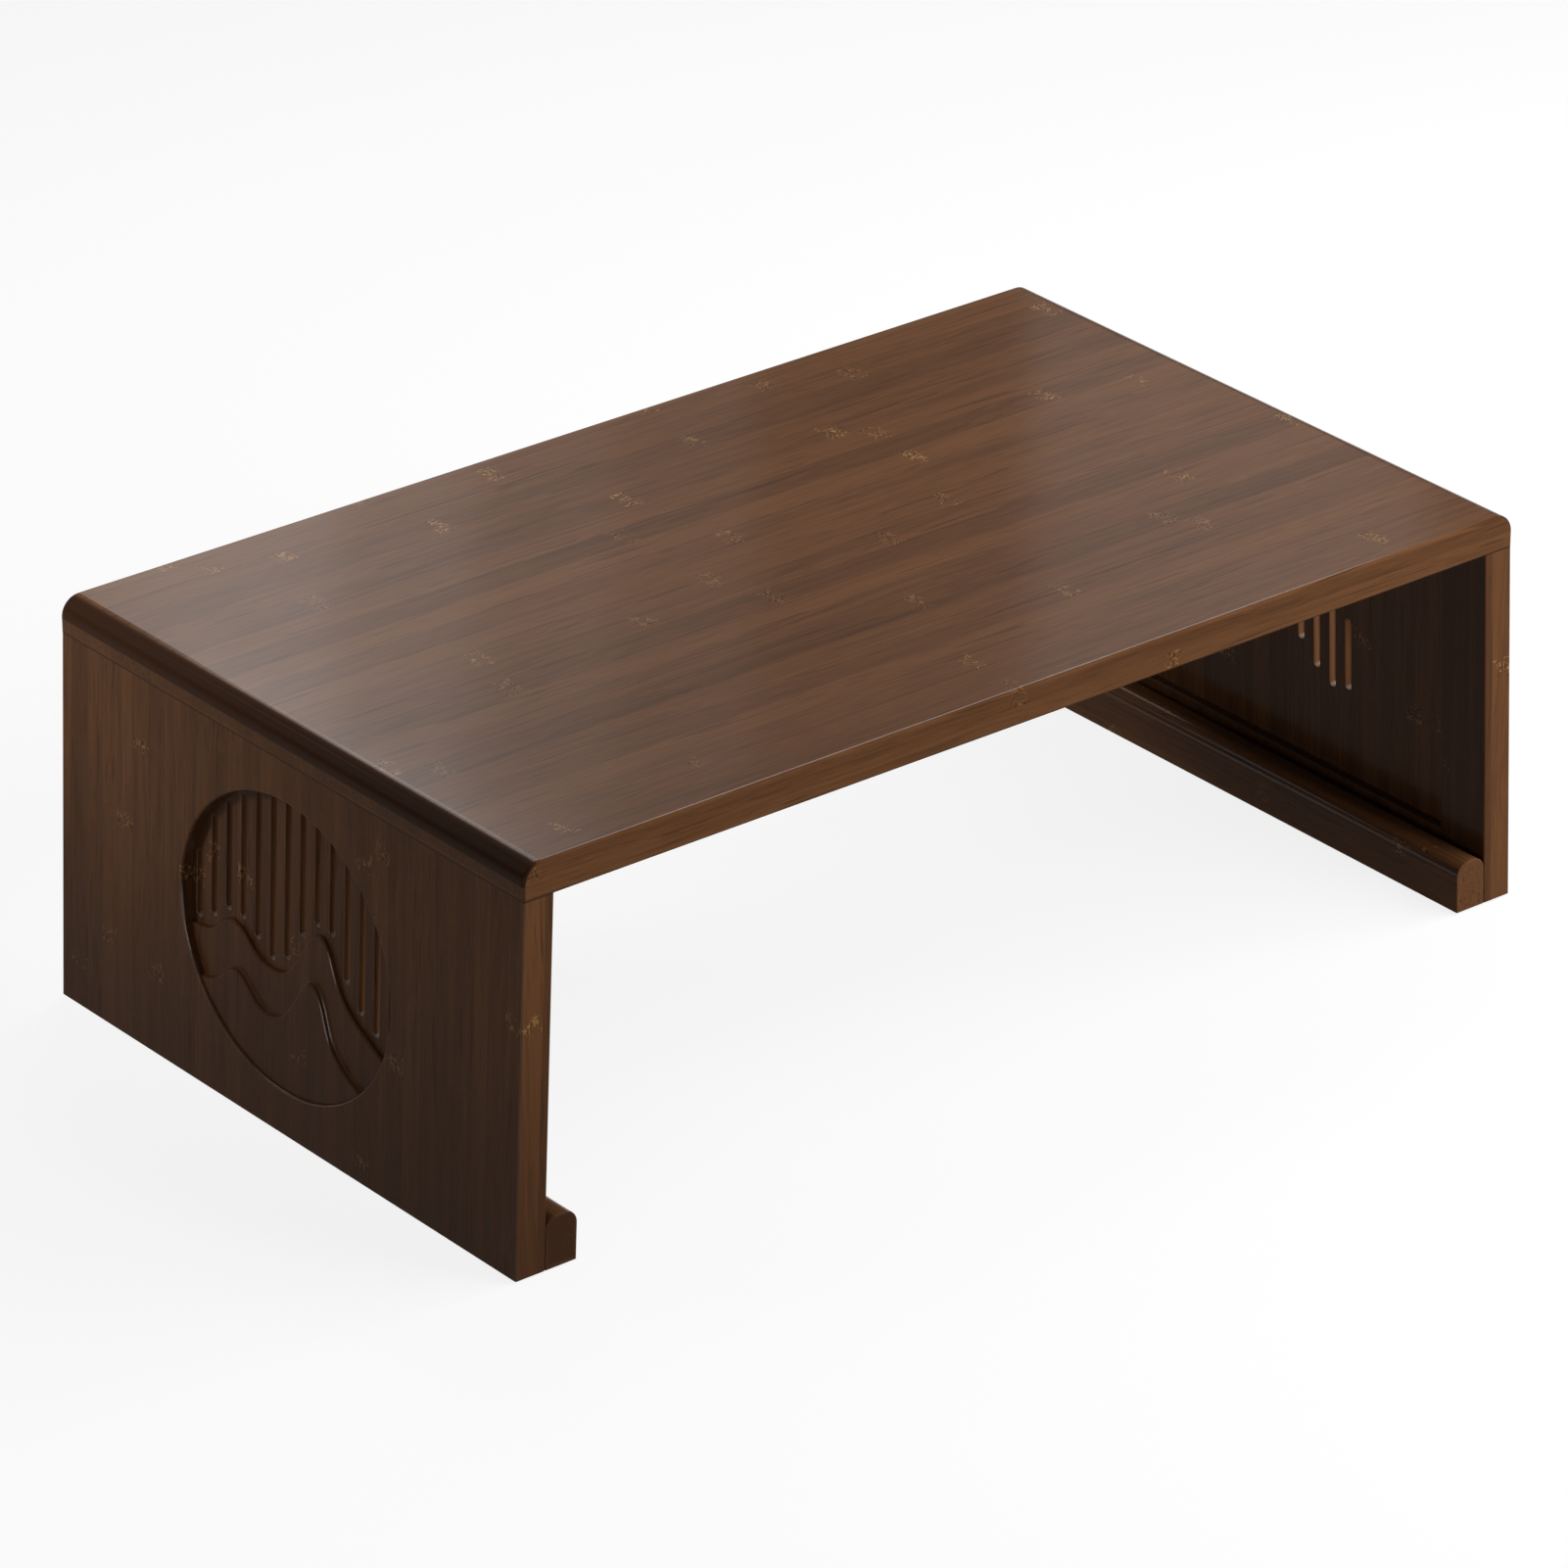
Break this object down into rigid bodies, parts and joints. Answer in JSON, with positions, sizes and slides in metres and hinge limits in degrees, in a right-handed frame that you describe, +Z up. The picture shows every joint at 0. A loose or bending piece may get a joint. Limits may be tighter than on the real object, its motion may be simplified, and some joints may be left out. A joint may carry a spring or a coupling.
{
  "type": "low floor table",
  "caption": "Low waterfall-shaped floor table in dark stained wood: a thick top on carved side panels with rounded foot rails, held by dowels and cam locks.",
  "frame": {"origin": "on the floor below the middle of the top", "axes": "+X along the table to the right as seen from the front, -Y to the front, +Z up"},
  "size_m": [1.025, 0.6, 0.35],
  "materials": {
    "stained_wood": "dark brown stain under semi-gloss lacquer",
    "dowel_wood": "bare beech with fine flutes",
    "fastener_steel": "zinc plated",
    "brown_plastic": "fine moulded grain",
    "felt": "pressed felt"
  },
  "bodies": {
    "root": {"tabletop": "stained_wood", "left_side_panel": "stained_wood", "right_side_panel": "stained_wood", "left_foot_rail": "stained_wood", "right_foot_rail": "stained_wood", "left_top_dowels": "dowel_wood", "right_top_dowels": "dowel_wood", "left_rail_dowels": "dowel_wood", "right_rail_dowels": "dowel_wood", "left_cam_bolts": "fastener_steel", "right_cam_bolts": "fastener_steel", "left_cam_locks": "fastener_steel", "right_cam_locks": "fastener_steel", "left_cam_caps": "brown_plastic", "right_cam_caps": "brown_plastic", "left_foot_pads": "felt", "right_foot_pads": "felt"}
  },
  "joints": []
}
